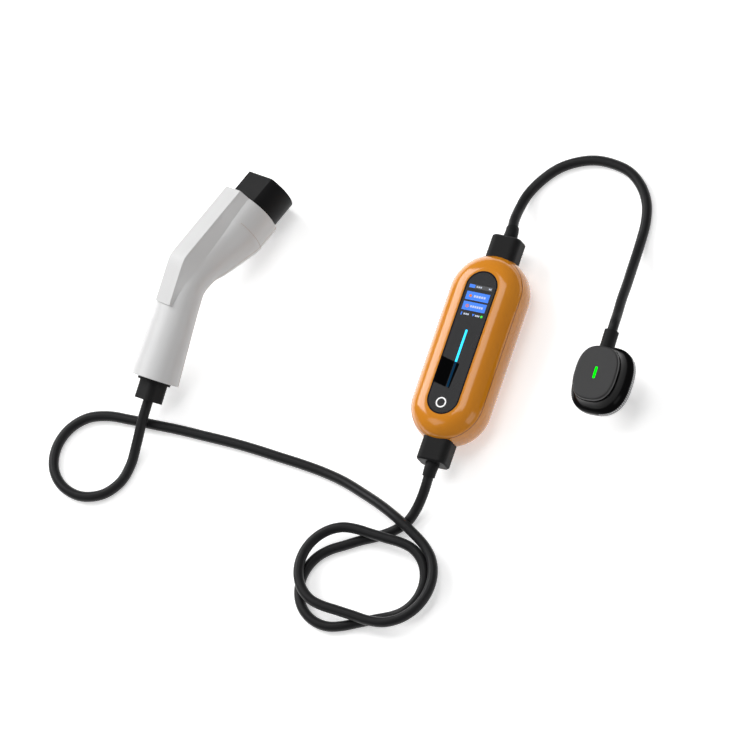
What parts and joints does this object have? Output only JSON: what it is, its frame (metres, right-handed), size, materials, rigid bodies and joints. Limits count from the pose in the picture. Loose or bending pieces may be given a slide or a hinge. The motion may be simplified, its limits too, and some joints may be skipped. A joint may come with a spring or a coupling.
{
  "type": "portable ev charger",
  "caption": "Portable charger for electric cars: rounded control box with a display panel, a short mains lead with its plug, and a coiled charging cable with its pistol-grip connector.",
  "frame": {"origin": "middle of the control box's flat back face", "axes": "+X to the right of the display, +Y along the box towards the mains lead, +Z out of the display"},
  "size_m": [0.6353, 0.5719, 0.0902],
  "materials": {
    "orange_gloss_plastic": "gloss",
    "dark_panel": "gloss",
    "display_glass": "gloss",
    "cyan_light_guide": "satin",
    "green_light_guide": "satin",
    "seal_rubber": "matte",
    "steel": "satin",
    "circuit_board": "satin",
    "component_plastic": "satin",
    "black_rubber": "satin",
    "black_plastic": "matte",
    "white_satin_plastic": "satin",
    "brass": "satin",
    "plug_gloss_plastic": "gloss",
    "plug_cap_plastic": "satin",
    "cable_rubber": "satin"
  },
  "bodies": {
    "root": {"front_shell": "orange_gloss_plastic", "rear_shell": "orange_gloss_plastic", "shell_seal": "seal_rubber", "shell_screws": "steel", "display_panel": "dark_panel", "display_module": "display_glass", "light_bar": "cyan_light_guide", "touch_sensor": "component_plastic", "main_board": "circuit_board", "board_screws": "steel", "power_relays": "component_plastic", "power_supply": "component_plastic", "leakage_sensor": "component_plastic", "terminal_blocks": "component_plastic", "upper_gland": "black_rubber", "lower_gland": "black_rubber", "gland_nuts": "black_plastic", "connector_shell_left": "white_satin_plastic", "connector_shell_right": "white_satin_plastic", "connector_nose": "black_plastic", "nose_seal": "seal_rubber", "power_sleeves": "brass", "signal_sleeves": "brass", "contact_carrier": "black_plastic", "handle_end_cap": "white_satin_plastic", "cable_clamp": "steel", "connector_gland": "black_rubber", "connector_screws": "steel", "plug_cap": "plug_cap_plastic", "plug_light": "green_light_guide", "plug_light_board": "circuit_board", "plug_body": "plug_gloss_plastic", "plug_base": "black_plastic", "plug_pins": "steel", "earth_clips": "brass", "plug_relief": "black_rubber", "mains_lead": "cable_rubber", "charging_cable_run": "cable_rubber", "charging_cable_coil": "cable_rubber", "charging_cable_tail": "cable_rubber"}
  },
  "joints": []
}
